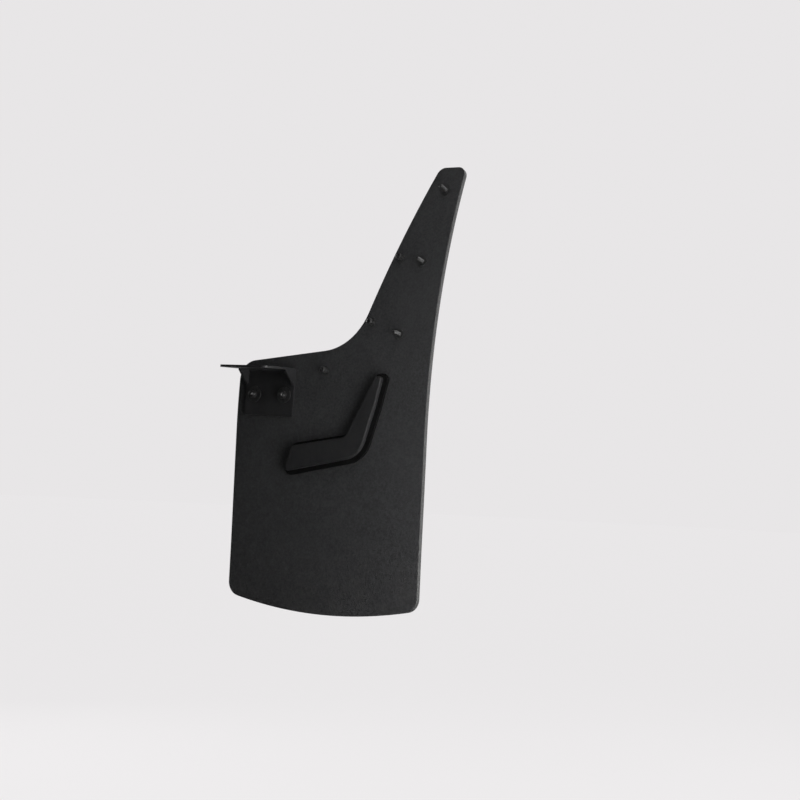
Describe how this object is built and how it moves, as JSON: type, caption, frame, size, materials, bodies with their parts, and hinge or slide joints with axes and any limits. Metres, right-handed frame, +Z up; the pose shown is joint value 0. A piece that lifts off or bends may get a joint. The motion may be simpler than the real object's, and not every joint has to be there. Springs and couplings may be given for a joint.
{
  "type": "mud flap",
  "caption": "Thick rubber mud flap with a tapering upper tail that curves forward along the wheel arch, an L-shaped clamp moulding and a slotted bumper bracket.",
  "frame": {"origin": "middle of the bracket's two slots, on the top face of its level leg", "axes": "+X outboard, across the sheet; +Y forward, from the flap to the tyre; +Z up along the flat panel"},
  "size_m": [0.305, 0.1389, 0.5896],
  "materials": {
    "rubber": "matte black cut rubber sheet, faint grain",
    "moulded_plastic": "fine-textured black moulded plastic",
    "foam": "closed-cell foam rubber",
    "zinc_steel": "bright zinc plate",
    "coated_steel": "satin black powder coat",
    "stainless": "brushed stainless steel",
    "black_zinc": "black zinc-nickel plate",
    "nylon": "satin black nylon"
  },
  "bodies": {
    "bracket": {"support_bracket": "coated_steel"},
    "sheet": {"flap_upper": "rubber", "retainer_moulding": "moulded_plastic", "moulding_gasket": "foam", "captive_nuts": "zinc_steel", "clamp_sleeves": "zinc_steel", "lip_sleeves": "zinc_steel", "bracket_sleeves": "zinc_steel", "clamp_plate": "coated_steel", "backing_plate": "coated_steel", "lip_strip": "stainless", "clamp_screws": "black_zinc", "lip_screws": "black_zinc", "bracket_bolts": "black_zinc", "bracket_washers": "black_zinc", "lock_nuts": "black_zinc", "lip_retainers": "nylon", "liner_rivets": "nylon", "nylon_rings": "nylon"},
    "free_flap": {"flap_lower": "rubber"},
    "pin_inner": {"rivet_pin_inner": "nylon"},
    "pin_middle": {"rivet_pin_middle": "nylon"},
    "pin_upper": {"rivet_pin_upper": "nylon"}
  },
  "joints": [
    {"name": "height_adjust", "type": "slide", "parent": "bracket", "child": "sheet", "axis": [0, 0.0497, 0.9988], "range_m": [-0.007, 0.007]},
    {"name": "flap_flex", "type": "hinge", "parent": "sheet", "child": "free_flap", "pos_m": [0.0975, 0.0412, -0.144], "axis": [1, 0, 0], "range_deg": [-40, 25], "stiffness_Nm_per_rad": 0.67},
    {"name": "rivet_pin_inner_pull", "type": "slide", "parent": "sheet", "child": "pin_inner", "axis": [0, 0.9963, -0.0857], "range_m": [0, 0.006]},
    {"name": "rivet_pin_middle_pull", "type": "slide", "parent": "sheet", "child": "pin_middle", "axis": [0, 0.9882, -0.1534], "range_m": [0, 0.006]},
    {"name": "rivet_pin_upper_pull", "type": "slide", "parent": "sheet", "child": "pin_upper", "axis": [0, 0.9699, -0.2434], "range_m": [0, 0.006]}
  ]
}
